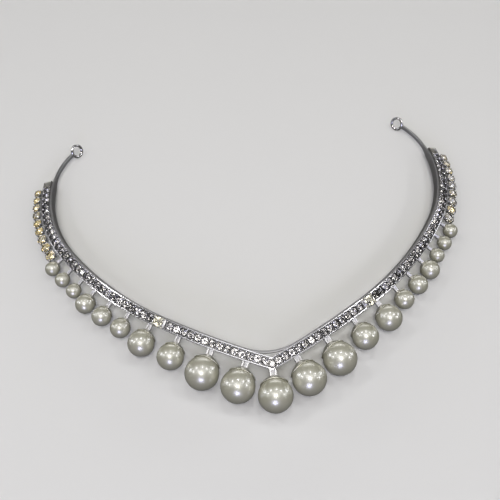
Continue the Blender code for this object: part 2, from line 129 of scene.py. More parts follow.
class Sizes(bpy.types.PropertyGroup):
    """Sizes of the tiara that can change without moving a piece off its seat."""

    rail_width: FloatProperty(
        name="Rail width", description="Thickness of the rim on each side of the row of stones",
        default=0.32 * MM, min=0.2 * MM, max=0.5 * MM, unit="LENGTH", precision=5)
    channel_depth: FloatProperty(
        name="Channel depth", description="Height of the channel's outer walls below the stones",
        default=2.2 * MM, min=1.6 * MM, max=2.2 * MM, unit="LENGTH", precision=5)
    stone_diameter: FloatProperty(
        name="Channel stone diameter", description="Width of each round stone in the channel",
        default=2.12 * MM, min=1.4 * MM, max=2.2 * MM, unit="LENGTH", precision=5)
    stone_turn: FloatProperty(
        name="Stone turn", description="How far a stone may be turned on its seat",
        default=math.radians(40), subtype="ANGLE")
    stone_tilt: FloatProperty(
        name="Stone tilt", description="How far a stone may lean in its seat",
        default=math.radians(8), subtype="ANGLE")
    pearl_fullness: FloatProperty(
        name="Pearl fullness", description="Diameter of each pearl as a share of its nominal size",
        default=99.0, min=90.0, max=100.0, subtype="PERCENTAGE")
    cup_angle: FloatProperty(
        name="Cup angle", description="How far round its pearl's sides a cup reaches from the post",
        default=math.radians(46), min=math.radians(25), max=math.radians(60), subtype="ANGLE")
    cup_scoop: FloatProperty(
        name="Cup scoop", description="How much less a cup reaches in front, and more behind",
        default=math.radians(22), min=0.0, max=math.radians(24), subtype="ANGLE")
    post_width: FloatProperty(
        name="Post width", description="Width of a post as a share of its pearl's diameter",
        default=20.0, min=12.0, max=24.0, subtype="PERCENTAGE")
    scatter_seed: IntProperty(
        name="Scatter seed", description="Seed of the small turns of the stones", default=7, min=0)


def colour_property(name, description, default):
    """A colour that the user can change."""
    return FloatVectorProperty(
        name=name, description=description, default=default, min=0.0, max=1.0, size=3,
        subtype="COLOR")


class Finishes(bpy.types.PropertyGroup):
    """Colours of the tiara's finishes."""

    rhodium: colour_property(
        "Rhodium plate", "Colour of the polished metal", (0.80, 0.79, 0.81))
    nacre: colour_property(
        "Nacre", "Body colour of the pearls", (0.47, 0.452, 0.365))
    nacre_shade: colour_property(
        "Nacre shade", "Greenish overtone that drifts through the pearls", (0.40, 0.388, 0.275))
    clear_stone: colour_property(
        "Clear stones", "Colour of the channel's stones", (0.95, 0.945, 0.96))
    # painted reflection: the crystals' golden tint stands in for the warm glints of a lamp
    crystal_painted_glint_tint: colour_property(
        "Warm crystals", "Golden tint of the crystals beside the pearls", (1.0, 0.86, 0.52))
    accent: colour_property(
        "Accent stones", "Colour of the two larger stones at the joints", (1.0, 0.97, 0.88))


class Stage(bpy.types.PropertyGroup):
    """The floor and the light of the studio."""

    floor_colour: colour_property("Floor", "Colour of the plain floor", (0.76, 0.755, 0.75))
    room_light: FloatProperty(
        name="Room light", description="Strength of the even light from all sides",
        default=0.08, min=0.0, max=2.0)
    lamp_distance: FloatProperty(
        name="Lamp distance", description="How far the lamps stand from the tiara",
        default=0.8, min=0.3, max=3.0, unit="LENGTH")
    lamp_power: FloatProperty(
        name="Lamp power", description="Power of the main lamp",
        default=2.0, min=0.0, max=100.0, unit="POWER")


def add_node(tree, kind, settings, inputs):
    """Adds a node: its settings first, and then its sockets, each with a value or a link."""
    made = tree.nodes.new(kind)
    for key, value in (settings or {}).items():
        setattr(made, key, value)
    for key, value in (inputs or {}).items():
        if isinstance(value, bpy.types.NodeSocket):
            tree.links.new(value, made.inputs[key])
        else:
            made.inputs[key].default_value = value
    return made


class Shade:
    """A socket of a material's node tree, on which Python's operators add Math nodes."""

    def __init__(self, tree, socket=None):
        self.tree = tree
        self.socket = socket

    def node(self, kind, settings=None, inputs=None, output=0):
        """Adds a node with its settings and its sockets' values or links, and gives an output."""
        sockets = {key: value.socket if isinstance(value, Shade) else value
                   for key, value in (inputs or {}).items()}
        return Shade(self.tree, add_node(self.tree, kind, settings, sockets).outputs[output])

    def maths(self, operation, *values):
        return self.node("ShaderNodeMath", {"operation": operation}, dict(enumerate(values)))

    def __add__(self, other):
        return self.maths("ADD", self, other)

    def __radd__(self, other):
        return self.maths("ADD", other, self)

    def __sub__(self, other):
        return self.maths("SUBTRACT", self, other)

    def __rsub__(self, other):
        return self.maths("SUBTRACT", other, self)

    def __mul__(self, other):
        return self.maths("MULTIPLY", self, other)

    def __rmul__(self, other):
        return self.maths("MULTIPLY", other, self)

    def clamped(self):
        return self.node("ShaderNodeClamp", None, {0: self})

    def blend(self, low, high):
        """A colour between two colours, by this value."""
        return self.node(
            "ShaderNodeMix", {"data_type": "RGBA"}, {0: self, 6: low, 7: high}, output=2)

    def noise(self, place, scale, detail=2.0):
        """Noise with features of 1 / scale metres, as a value from 0 to 1."""
        return self.node(
            "ShaderNodeTexNoise", None, {"Vector": place, "Scale": scale, "Detail": detail})


def finish(name, constants):
    """A new material: itself, its shader with constants set, a start for its maths and a place."""
    made = bpy.data.materials.new(name)
    made.use_nodes = True
    tree = made.node_tree
    shader = tree.nodes["Principled BSDF"]
    for key, value in constants.items():
        shader.inputs[key].default_value = value
    start = Shade(tree)
    place = start.node("ShaderNodeTexCoord", output="Object")
    return made, shader, start, place


def wire(shader, key, value):
    shader.id_data.links.new(value.socket, shader.inputs[key])


def bumped(start, height, strength, distance):
    return start.node("ShaderNodeBump", None, {
        "Strength": strength, "Distance": distance, "Height": height})


def opaque(colour, share=1.0):
    """A colour for a socket, darkened to a share of its light."""
    return (*(part * share for part in colour), 1.0)


def plate_finish(name, tint, dullness, clouds, shade, drift_scale, grain_scale, grain_height,
                 relief):
    """Plated metal: faint drifts in its colour and polish, and hair-fine handling marks."""
    colour = [part * share for part, share in zip(bpy.context.scene.tiara_finishes.rhodium, tint)]
    made, shader, start, place = finish(name, {"Metallic": 1.0})
    drift = start.noise(place, drift_scale)
    grain = start.noise(place, grain_scale, detail=3.0)
    wire(shader, "Base Color", drift.blend(opaque(colour), opaque(colour, shade)))
    wire(shader, "Roughness", dullness + clouds * drift + 0.05 * grain)
    wire(shader, "Normal", bumped(start, drift + grain_height * grain, relief, 0.05 * MM))
    return made


def satin_finish(name, tint, dullness):
    """The plate where it is only tumbled: a softer, greyer shine."""
    return plate_finish(
        name, tint, dullness, clouds=0.14, shade=0.82, drift_scale=420.0, grain_scale=3200.0,
        grain_height=0.3, relief=0.15)


def painted_shade_trough_finish():
    """The plated floor under the stones, darkened as painted shade for the deep, narrow recess, and
    in part for tarnish where polish and cloth never reach.
    """
    colour = bpy.context.scene.tiara_finishes.rhodium
    made, shader, start, place = finish("channel_trough_metal", {"Metallic": 1.0})
    grain = start.noise(place, 1800.0, detail=3.0)
    # painted shade: the trough takes only a fifth to two fifths of the plate's colour
    wire(shader, "Base Color", grain.blend(opaque(colour, 0.22), opaque(colour, 0.38)))
    wire(shader, "Roughness", 0.35 + 0.2 * grain)
    return made


def pearl_finish():
    """Nacre: a cream body with a greenish overtone, under a smooth bright coat."""
    colours = bpy.context.scene.tiara_finishes
    made, shader, start, place = finish("pearl_nacre", {
        "IOR": 2.5, "Specular IOR Level": 0.9,
        "Coat Weight": 0.8, "Coat Roughness": 0.05, "Coat IOR": 1.6,
    })
    drift = start.noise(place, 140.0)
    cloud = start.noise(place, 700.0, detail=3.0)
    wire(shader, "Base Color", (1.5 * drift - 0.25).clamped().blend(
        opaque(colours.nacre), opaque(colours.nacre_shade)))
    wire(shader, "Roughness", 0.31 + 0.12 * cloud)
    wire(shader, "Normal", bumped(start, cloud + 0.6 * drift, 0.10, 0.06 * MM))
    return made


def stone_finish(name, key, other, scale=260.0, lean=0.0):
    """Polished cut glass. Its tint drifts between two colours, and with lean also left to right."""
    colour = getattr(bpy.context.scene.tiara_finishes, key)
    made, shader, start, place = finish(name, {
        "Transmission Weight": 1.0, "IOR": 1.62, "Roughness": 0.0,
    })
    across = start.node("ShaderNodeSeparateXYZ", None, {0: place})
    drift = (5.0 * start.noise(place, scale, detail=0.0) - 2.0 + lean * across).clamped()
    wire(shader, "Base Color", drift.blend(opaque(colour), opaque(other)))
    return made


def foil_finish(name, colour, dullness, dark):
    """The bright foil on the back of a cut stone, faintly crinkled, with darker patches."""
    made, shader, start, place = finish(name, {"Metallic": 1.0})
    drift = (4.0 * start.noise(place, 1000.0, detail=1.0) - 1.5).clamped()
    wire(shader, "Base Color", drift.blend(opaque(colour), opaque(colour, dark)))
    wire(shader, "Roughness", dullness + 0.08 * drift)
    wire(shader, "Normal", bumped(start, drift, 0.10, 0.05 * MM))
    return made


def floor_finish():
    """A matt pale table top that glows a little where it curves up, beyond the lamps' reach."""
    made, shader, start, place = finish("studio_floor", {
        "Specular IOR Level": 0.2, "Emission Strength": 1.0,
    })
    colour = bpy.context.scene.tiara_stage.floor_colour
    drift = start.noise(place, 6.0)
    distance = start.node("ShaderNodeVectorMath", {"operation": "LENGTH"}, {0: place}, "Value")
    wire(shader, "Base Color", drift.blend(opaque(colour), opaque(colour, 0.97)))
    wire(shader, "Roughness", 0.65 + 0.1 * drift)
    wire(shader, "Emission Color", (1.4 * distance - 0.5).clamped().blend(
        opaque((0, 0, 0)), opaque(colour, 0.9)))
    return made


FINISH_MAKERS = {
    "rhodium": lambda: plate_finish(
        "rhodium_plate_polished", (1.0, 1.0, 1.0), dullness=0.10, clouds=0.12, shade=0.9,
        drift_scale=260.0, grain_scale=2600.0, grain_height=0.25, relief=0.12),
    "band": lambda: satin_finish("rhodium_plate_band", (0.62, 0.62, 0.62), dullness=0.34),
    "satin": lambda: satin_finish("rhodium_plate_satin", (0.90, 0.90, 0.90), dullness=0.36),
    # cups, claws and end plates: plate brightened above its own colour and warmed, a painted warm
    # reflection of the pearls and lamps
    "cup": lambda: satin_finish("rhodium_plate_cups", (1.2, 1.19, 1.02), dullness=0.38),
    # painted shade of the channel's floor, with some tarnish
    "trough": painted_shade_trough_finish,
    "pearl": pearl_finish,
    "stone": lambda: stone_finish("channel_stone_glass", "clear_stone", (0.97, 0.96, 0.93)),
    "stone_foil": lambda: foil_finish(
        "channel_stone_foil", (0.80, 0.79, 0.80), dullness=0.05, dark=0.25),
    # crystals: golden tint as painted warm glints, golden on the left and clear grey on the right
    "crystal": lambda: stone_finish(
        "side_crystal_glass", "crystal_painted_glint_tint", (0.82, 0.83, 0.90), scale=330.0, lean=8.0),
    "crystal_foil": lambda: foil_finish(
        "side_crystal_foil", (1.0, 0.97, 0.88), dullness=0.12, dark=0.6),
    "accent": lambda: stone_finish("accent_crystal_glass", "accent", (1.0, 0.98, 0.94)),
    "accent_foil": lambda: foil_finish(
        "accent_crystal_foil", (0.95, 0.94, 0.88), dullness=0.10, dark=0.5),
}
finishes = {}


def material(key):
    """A finish by its key, made the first time that a piece asks for it."""
    if key not in finishes:
        finishes[key] = FINISH_MAKERS[key]()
    return finishes[key]


def plan(along):
    """The point and the heading of one half of the hoop, in the hoop's own plane."""
    arcs = (
        (ARM_LENGTH, ARM_RADIUS),
        (FRONT_LENGTH, FRONT_RADIUS),
        (SIDE_LENGTH, SIDE_RADIUS),
        (math.inf, END_RADIUS),
    )
    x, y, heading = 0.0, 0.0, V_SLOPE
    for length, radius in arcs:
        step = min(along, length)
        turned = heading + step / radius
        x += radius * (math.sin(turned) - math.sin(heading))
        y += radius * (math.cos(heading) - math.cos(turned))
        heading = turned
        along -= step
        if along <= 0:
            break
    return x, y, heading


class Seat:
    """Axes at one place of the hoop: along it, outward to the pearls, and up from the stones."""

    def __init__(self, along, rounded=False):
        side = -1 if along < 0 else 1
        x, y, heading = plan(abs(along))
        if along == 0 and not rounded:
            heading = 0.0
        if rounded and x < NOTCH_REACH:
            slope = math.tan(V_SLOPE)
            y += slope * (NOTCH_REACH - x) ** 2 / (2 * NOTCH_REACH)
            heading = math.atan(math.tan(heading) - slope * (1 - x / NOTCH_REACH))
        self.origin = Vector((side * x, y, 0))
        self.along = Vector((side * math.cos(heading), math.sin(heading), 0))
        self.across = self.along * side
        radial = Vector((side * math.sin(heading), -math.cos(heading), 0))
        self.out = radial * math.cos(FLARE) + Vector((0, 0, -math.sin(FLARE)))
        self.up = radial * math.sin(FLARE) + Vector((0, 0, math.cos(FLARE)))

    def point(self, along, out, up):
        return self.origin + self.along * along + self.out * out + self.up * up


def pearl_reach(diameter):
    return HALF_WIDTH + POST_LENGTH + CUP_WALL + GAP + diameter / 2


def crystal_reach(diameter):
    return HALF_WIDTH + CRYSTAL_OFFSET + diameter / 2


def next_along(before, centre_before, spacing, reach, level, halvings=40):
    """The place along the hoop whose piece lies at the given distance from the one before."""
    low, high = before, before + 3 * spacing
    for _ in range(halvings):
        middle = (low + high) / 2
        if (Seat(middle).point(0, reach, level) - centre_before).length < spacing:
            low = middle
        else:
            high = middle
    return low


def pearl_places():
    """(along, diameter) of each pearl of the right half, the centre one first."""
    places = [(0.0, CENTRE_PEARL)]
    past_tip = 0.01 * MM
    for diameter_mm, gap_mm in PEARL_TABLE:
        along, before = places[-1]
        diameter = diameter_mm * MM
        centre = Seat(along).point(0, pearl_reach(before), PEARL_LEVEL)
        spacing = (before + diameter) / 2 + gap_mm * MM
        start = max(along, past_tip)
        along = next_along(start, centre, spacing, pearl_reach(diameter), PEARL_LEVEL)
        places.append((along, diameter))
    return places


def crystal_places():
    """(along, diameter) of each crystal of the right half."""
    along, before = pearl_places()[-1]
    centre = Seat(along).point(0, pearl_reach(before), PEARL_LEVEL)
    places = []
    for number in range(CRYSTAL_COUNT):
        share = number / (CRYSTAL_COUNT - 1)
        diameter = CRYSTAL_FIRST + (CRYSTAL_LAST - CRYSTAL_FIRST) * share
        spacing = (before + diameter) / 2 + CRYSTAL_GAP
        along = next_along(along, centre, spacing, crystal_reach(diameter), CRYSTAL_LEVEL)
        places.append((along, diameter))
        centre = Seat(along).point(0, crystal_reach(diameter), CRYSTAL_LEVEL)
        before = diameter
    return places


def both_sides(places):
    """The same places on the left half and the right half, with the centre one once."""
    return [(side * along, size) for along, size in places
            for side in ((-1, 1) if along else (1,))]


def row_places():
    """Places along the hoop of the stones of the front, left and right rows."""
    clear = ACCENT_DIAMETER / 2 + COLLET_WALL / 2 + GAP + STONE_PITCH / 2
    arm_count = math.floor((ARM_LENGTH - clear) / STONE_PITCH)
    front = [number * STONE_PITCH for number in range(-arm_count, arm_count + 1)]
    first = ARM_LENGTH + clear
    room = CHANNEL_LENGTH - END_WALL - GAP - STONE_PITCH / 2 - first
    side = [first + number * STONE_PITCH for number in range(math.floor(room / STONE_PITCH) + 1)]
    return front, [-along for along in side], side


def stops(length, step):
    """Even places along the whole hoop, with one at the tip of the V."""
    count = math.ceil(length / step)
    return [length * number / count for number in range(-count, count + 1)]


def rest():
    """From the flat hoop to where the tiara lies on the floor."""
    return Matrix.Translation(TIP_PLACE) @ Matrix.Rotation(-REST_TILT, 4, "X")


def placed(name, data):
    """A new object in the scene."""
    made = bpy.data.objects.new(name, data)
    bpy.context.scene.collection.objects.link(made)
    return made


def mesh_object(name, mesh_data):
    mesh = bpy.data.meshes.new(name)
    mesh_data.to_mesh(mesh)
    mesh_data.free()
    return placed(name, mesh)


def pattern(name, rings, capped=False):
    """A small form to be copied: rings of points joined by faces. A ring of one point is a pole."""
    mesh_data = bmesh.new()
    made = [[mesh_data.verts.new(place) for place in ring] for ring in rings]
    for first, second in zip(made, made[1:]):
        count = max(len(first), len(second))
        for number in range(count):
            following = (number + 1) % count
            if len(first) == 1:
                mesh_data.faces.new((first[0], second[following], second[number]))
            elif len(second) == 1:
                mesh_data.faces.new((first[number], first[following], second[0]))
            else:
                mesh_data.faces.new(
                    (first[number], first[following], second[following], second[number]))
    if capped:
        mesh_data.faces.new(made[0])
        mesh_data.faces.new(made[-1])
    bmesh.ops.recalc_face_normals(mesh_data, faces=mesh_data.faces)
    return mesh_object(name, mesh_data)


def turned(name, profile, sides):
    """A turned form about +Z. The profile holds (radius, height), and a radius of 0 is a pole."""
    rings = []
    for radius, height in profile:
        if radius == 0:
            rings.append([Vector((0, 0, height))])
            continue
        angles = [2 * math.pi * number / sides for number in range(sides)]
        rings.append([Vector((radius * math.cos(a), radius * math.sin(a), height)) for a in angles])
    return pattern(name, rings)


def round_corners(corners, radii, steps=4):
    """A closed outline with its corners rounded. The corners run round it in order."""
    outline = []
    for number, corner in enumerate(corners):
        here = Vector(corner)
        before = (Vector(corners[number - 1]) - here).normalized()
        after = (Vector(corners[(number + 1) % len(corners)]) - here).normalized()
        radius = radii[number]
        if radius == 0:
            outline.append(here)
            continue
        half = before.angle(after) / 2
        centre = here + (before + after).normalized() * (radius / math.sin(half))
        first = here + before * (radius / math.tan(half)) - centre
        last = here + after * (radius / math.tan(half)) - centre
        for step in range(steps + 1):
            outline.append(centre + first.slerp(last, step / steps).normalized() * radius)
    return outline


def rounded_box(half_width, half_height, radius, steps=4):
    """The outline of a box about its middle, with its corners rounded."""
    corners = ((-half_width, -half_height), (half_width, -half_height),
               (half_width, half_height), (-half_width, half_height))
    return round_corners(corners, (radius,) * 4, steps)


def prism(name, outline, levels):
    """An outline carried up through levels of (height, share of its width), closed at both ends."""
    rings = [[Vector((corner[0] * share, corner[1] * share, height)) for corner in outline]
             for height, share in levels]
    return pattern(name, rings, capped=True)


def cut_stone(name, crown, pavilion):
    """A brilliant cut of unit diameter, with its girdle's top at 0 and its back marked for foil."""
    table, girdle, star, lower_half = 0.56, 0.03, 0.40, 0.14
    mesh_data = bmesh.new()
    back = mesh_data.faces.layers.bool.new("back")
    eighth = math.pi / 4

    def ring(radius, height, turn, count=8):
        step = 2 * math.pi / count
        return [mesh_data.verts.new((radius * math.cos(step * number + turn),
                                     radius * math.sin(step * number + turn), height))
                for number in range(count)]

    table_radius = table / 2
    slope = crown / (0.5 - table_radius)
    tables = ring(table_radius, crown, 0.0)
    stars = ring(star, (0.5 - star * math.cos(eighth / 2)) * slope, eighth / 2)
    edges = ring(0.5, 0.0, 0.0, 16)
    lower_edges = ring(0.5, -girdle, 0.0, 16)
    fall = pavilion / 0.5
    half_fall = (0.5 - lower_half * math.cos(eighth / 2)) * fall
    halves = ring(lower_half, -girdle - half_fall, eighth / 2)
    culet = mesh_data.verts.new((0, 0, -girdle - pavilion))
    mesh_data.faces.new(tables)
    for number in range(8):
        after = (number + 1) % 8
        edge, middle, far = 2 * number, 2 * number + 1, (2 * number + 2) % 16
        mesh_data.faces.new((tables[number], stars[number], tables[after]))
        mesh_data.faces.new((tables[number], stars[number - 1], edges[edge], stars[number]))
        mesh_data.faces.new((stars[number], edges[edge], edges[middle]))
        mesh_data.faces.new((stars[number], edges[middle], edges[far]))
        mesh_data.faces.new((edges[edge], lower_edges[edge], lower_edges[middle], edges[middle]))
        mesh_data.faces.new((edges[middle], lower_edges[middle], lower_edges[far], edges[far]))
        foiled = (
            (culet, halves[number - 1], lower_edges[edge], halves[number]),
            (halves[number], lower_edges[edge], lower_edges[middle]),
            (halves[number], lower_edges[middle], lower_edges[far]),
        )
        for corners in foiled:
            mesh_data.faces.new(corners)[back] = True
    bmesh.ops.recalc_face_normals(mesh_data, faces=mesh_data.faces)
    return mesh_object(name, mesh_data)


class Growth:
    """A Geometry Nodes tree under construction."""

    def __init__(self, name, inputs):
        self.tree = bpy.data.node_groups.new(name, "GeometryNodeTree")
        self.sockets = {}
        face = self.tree.interface
        face.new_socket("Geometry", in_out="OUTPUT", socket_type="NodeSocketGeometry")
        face.new_socket("Geometry", in_out="INPUT", socket_type="NodeSocketGeometry")
        for label, kind in inputs:
            self.sockets[label] = face.new_socket(label, in_out="INPUT", socket_type=kind)
        self.given = self.tree.nodes.new("NodeGroupInput").outputs

    def node(self, kind, settings=None, inputs=None, output=0):
        """Adds a node and gives one of its outputs."""
        return add_node(self.tree, kind, settings, inputs).outputs[output]

    def maths(self, operation, *values):
        return self.node("ShaderNodeMath", {"operation": operation}, dict(enumerate(values)))

    def attribute(self, name, kind="FLOAT_VECTOR"):
        return self.node("GeometryNodeInputNamedAttribute", {"data_type": kind}, {"Name": name})

    def end(self, geometry):
        """Ends the tree: real geometry with its finish, and another finish on the marked faces."""
        real = self.node("GeometryNodeRealizeInstances", None, {"Geometry": geometry})
        front = self.node("GeometryNodeSetMaterial", None, {
            "Geometry": real, "Material": self.given["Finish"]})
        back = self.node("GeometryNodeSetMaterial", None, {
            "Geometry": front, "Selection": self.attribute("back", "BOOLEAN"),
            "Material": self.given["Back finish"]})
        group_output = self.tree.nodes.new("NodeGroupOutput")
        self.tree.links.new(back, group_output.inputs["Geometry"])


def repeat_tree():
    """Copies a pattern to each seat, on the seat's own axes and at its size, with a random turn."""
    grown = Growth("copies_on_seats", (
        ("Pattern", "NodeSocketObject"),
        ("Largest turn", "NodeSocketFloat"),
        ("Largest tilt", "NodeSocketFloat"),
        ("Seed", "NodeSocketInt"),
        ("Finish", "NodeSocketMaterial"),
        ("Back finish", "NodeSocketMaterial"),
    ))
    pattern_mesh = grown.node(
        "GeometryNodeObjectInfo", None, {"Object": grown.given["Pattern"]}, "Geometry")
    axes = grown.node("FunctionNodeAxesToRotation", {"primary_axis": "Z", "secondary_axis": "X"}, {
        0: grown.attribute("up"), 1: grown.attribute("across")})
    tilt, turn = grown.given["Largest tilt"], grown.given["Largest turn"]
    largest = grown.node("ShaderNodeCombineXYZ", None, {"X": tilt, "Y": tilt, "Z": turn})
    smallest = grown.node(
        "ShaderNodeVectorMath", {"operation": "SCALE"}, {0: largest, "Scale": -1.0})
    angles = grown.node("FunctionNodeRandomValue", {"data_type": "FLOAT_VECTOR"}, {
        0: smallest, 1: largest, "Seed": grown.given["Seed"]})
    spin = grown.node("FunctionNodeEulerToRotation", None, {0: angles})
    turned_axes = grown.node(
        "FunctionNodeRotateRotation", {"rotation_space": "LOCAL"}, {0: axes, 1: spin})
    copies = grown.node("GeometryNodeInstanceOnPoints", None, {
        "Points": grown.given["Geometry"], "Instance": pattern_mesh,
        "Rotation": turned_axes, "Scale": grown.attribute("size")})
    grown.end(copies)
    return grown


def sweep_tree():
    """Carries a closed section along the hoop, on each stop's own axes."""
    grown = Growth("section_along_hoop", (
        ("Section", "NodeSocketObject"),
        ("Finish", "NodeSocketMaterial"),
        ("Back finish", "NodeSocketMaterial"),
    ))
    hoop = grown.given["Geometry"]
    section = grown.node(
        "GeometryNodeObjectInfo", None, {"Object": grown.given["Section"]}, "Geometry")
    stop_count = grown.node("GeometryNodeAttributeDomainSize", None, {0: hoop})
    corner_count = grown.node("GeometryNodeAttributeDomainSize", None, {0: section})
    around = grown.maths("ADD", corner_count, 1.0)
    grid = grown.node(
        "GeometryNodeMeshGrid", None, {"Vertices X": stop_count, "Vertices Y": around})
    index = grown.node("GeometryNodeInputIndex")
    stop = grown.maths("FLOOR", grown.maths("DIVIDE", grown.maths("ADD", index, 0.5), around))
    within = grown.maths("SUBTRACT", index, grown.maths("MULTIPLY", stop, around))
    corner = grown.maths("MODULO", within, corner_count)

    def at(geometry, value, number):
        return grown.node("GeometryNodeSampleIndex", {"data_type": "FLOAT_VECTOR"}, {
            "Geometry": geometry, "Value": value, "Index": number})

    def vector_maths(operation, inputs):
        return grown.node("ShaderNodeVectorMath", {"operation": operation}, inputs)

    place = grown.node("GeometryNodeInputPosition")
    outline = at(section, place, corner)
    split = grown.node("ShaderNodeSeparateXYZ", None, {0: outline}, "X")
    rise = split.node.outputs["Y"]
    out_part = vector_maths("SCALE", {0: at(hoop, grown.attribute("out"), stop), "Scale": split})
    up_part = vector_maths("SCALE", {0: at(hoop, grown.attribute("up"), stop), "Scale": rise})
    offset = vector_maths("ADD", {0: out_part, 1: up_part})
    target = vector_maths("ADD", {0: at(hoop, place, stop), 1: offset})
    wall = grown.node("GeometryNodeSetPosition", None, {"Geometry": grid, "Position": target})
    welded = grown.node(
        "GeometryNodeMergeByDistance", None, {"Geometry": wall, "Distance": SEAM})
    grown.end(welded)
    return grown


def seats_object(name, rows):
    """Points with vectors for the nodes. Each row holds a place and a dict of named vectors."""
    mesh = bpy.data.meshes.new(name)
    mesh.from_pydata([place for place, _ in rows], [], [])
    for label in rows[0][1]:
        layer = mesh.attributes.new(label, "FLOAT_VECTOR", "POINT")
        for number, (_, vectors) in enumerate(rows):
            layer.data[number].vector = vectors[label]
    return placed(name, mesh)


def grow(name, carrier, grown, values, sharp):
    """Runs a tree on its carrier, and lays the result on the floor as a plain mesh."""
    modifier = carrier.modifiers.new("growth", "NODES")
    modifier.node_group = grown.tree
    for label, value in values.items():
        modifier[grown.sockets[label].identifier] = value
    evaluated = carrier.evaluated_get(bpy.context.evaluated_depsgraph_get())
    mesh = bpy.data.meshes.new_from_object(evaluated)
    bpy.data.objects.remove(carrier)
    for value in values.values():
        if isinstance(value, bpy.types.Object):
            bpy.data.objects.remove(value)
    if not mesh.polygons:
        raise RuntimeError(f"{name}: its nodes gave no faces")
    mesh.name = name
    mesh.transform(rest())
    tidy = bmesh.new()
    tidy.from_mesh(mesh)
    bmesh.ops.remove_doubles(tidy, verts=tidy.verts, dist=WELD)
    open_edges = [edge for edge in tidy.edges if edge.is_boundary]
    if open_edges:
        bmesh.ops.holes_fill(tidy, edges=open_edges, sides=0)
    bmesh.ops.recalc_face_normals(tidy, faces=tidy.faces)
    tidy.to_mesh(mesh)
    tidy.free()
    if sharp:
        mesh.shade_smooth()
        mesh.set_sharp_from_angle(angle=sharp)
    else:
        mesh.shade_flat()
    return placed(name, mesh)


def repeated(name, form, rows, keys, sharp=CREASE, turn=0.0, tilt=0.0):
    """Copies of a form on seats, as one piece."""
    values = {
        "Pattern": form, "Largest turn": turn, "Largest tilt": tilt,
        "Seed": bpy.context.scene.tiara_sizes.scatter_seed,
        "Finish": material(keys[0]), "Back finish": material(keys[-1]),
    }
    return grow(name, seats_object(name + "_seats", rows), repeat_tree(), values, sharp)


def swept(name, outline, rows, key):
    """A closed outline carried along the hoop, as one piece."""
    section = bpy.data.meshes.new(name + "_section")
    section.from_pydata([(corner[0], corner[1], 0.0) for corner in outline], [], [])
    form = placed(name + "_section", section)
    values = {"Section": form, "Finish": material(key), "Back finish": material(key)}
    return grow(name, seats_object(name + "_stops", rows), sweep_tree(), values, CREASE)


def copy_row(place, up, across, size):
    """A row for one copy of a form: where it stands, where its +Z and +X point, and its size."""
    scale = size if isinstance(size, Vector) else Vector((size, size, size))
    return place, {"up": up, "across": across, "size": scale}


def upright(seat, out, up, size):
    """A row for a form that stands on the stones' side of the hoop, +Z up and +X along."""
    return copy_row(seat.point(0, out, up), seat.up, seat.across, size)


def outward(seat, out, up, size):
    """A row for a form whose +Z points out to the pearls and +Y up from the stones."""
    return copy_row(seat.point(0, out, up), seat.out, seat.across, size)


def upright_pair(along, up, size):
    """Rows for a form on the middle line of the left half and of the right half."""
    return [upright(Seat(side * along), 0, up, size) for side in (-1, 1)]


def mounted(made, slot, *nodes):
    """Joins a finished piece to the tiara's body in the names of the nodes that it stands for."""
    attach(made, "root")
    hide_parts(*nodes)
    return made


def channel_stop(along):
    """A stop of the channel. At the tip its axes are mitred, so that the two arms meet."""
    seat = Seat(along)
    if along != 0:
        return seat.origin, {"out": seat.out, "up": seat.up}
    past_tip = 0.001 * MM
    arm = Seat(past_tip)
    out = arm.out - arm.along * (arm.out.x / arm.along.x)
    up = arm.up - arm.along * (arm.up.x / arm.along.x)
    return Vector((0, 0, 0)), {"out": out, "up": up}


def channel_piece():
    """The V-fronted trough, with a thin flat-topped rail on each side of the stones."""
    sizes = bpy.context.scene.tiara_sizes
    rail = sizes.rail_width
    rise, floor, depth = 0.3 * MM, -1.25 * MM, -sizes.channel_depth
    inner = HALF_WIDTH - rail
    corners = (
        (-HALF_WIDTH, depth), (HALF_WIDTH, depth), (HALF_WIDTH, rise), (inner, rise),
        (inner, floor), (-inner, floor), (-inner, rise), (-HALF_WIDTH, rise),
    )
    soft, edge = 0.25 * MM, rail * 0.15
    outline = round_corners(corners, (soft, soft, edge, edge, 0, 0, edge, edge), 3)
    rows = [channel_stop(along) for along in stops(CHANNEL_LENGTH, STOP_STEP)]
    return swept("channel", outline, rows, "rhodium")


def channel_ends():
    """A rounded plate that closes the trough at each end."""
    half_width, half_height, half_thickness = HALF_WIDTH - 0.05 * MM, 1.2 * MM, 0.3 * MM
    middle, corner_radius = -0.95 * MM, 0.3 * MM
    outline = rounded_box(half_width, half_height, corner_radius, 3)
    rings = []
    for layer, inset in ((-1.0, 0.9), (-0.8, 1.0), (0.8, 1.0), (1.0, 0.9)):
        rings.append([Vector((half_thickness * layer, corner[0] * inset, corner[1] * inset))
                      for corner in outline])
    rows = upright_pair(CHANNEL_LENGTH - END_WALL / 2, middle, 1.0)
    return repeated("channel_ends", pattern("end_plate", rings, capped=True), rows, ("cup",))


def hairband_piece():
    """The strip inside the hoop: tall beside the channel, lower beyond it, rounded behind the V."""
    half = BAND_THICKNESS / 2
    foot, top, bevel = -BAND_HEIGHT / 2, BAND_HEIGHT / 2, 0.3 * MM
    foot_radius, outer_radius, inner_radius = 0.22 * MM, 0.07 * MM, 0.10 * MM
    outline = round_corners(
        ((-half, foot), (half, foot), (half, top), (-half, top - bevel)),
        (foot_radius, foot_radius, outer_radius, inner_radius))
    rows = []
    for along in stops(BAND_LENGTH, STOP_STEP):
        seat = Seat(along, rounded=True)
        past = (abs(along) - CHANNEL_LENGTH + BAND_TAPER / 2) / BAND_TAPER
        past = min(1.0, max(0.0, past))
        past = past * past * (3 - 2 * past)
        height = BAND_HEIGHT + (BAND_END_HEIGHT - BAND_HEIGHT) * past
        centre = seat.point(0, -HALF_WIDTH + BAND_LAP - half, BAND_TOP - BAND_HEIGHT / 2)
        rows.append((centre, {"out": seat.out, "up": seat.up * (height / BAND_HEIGHT)}))
    return swept("hairband", outline, rows, "band")


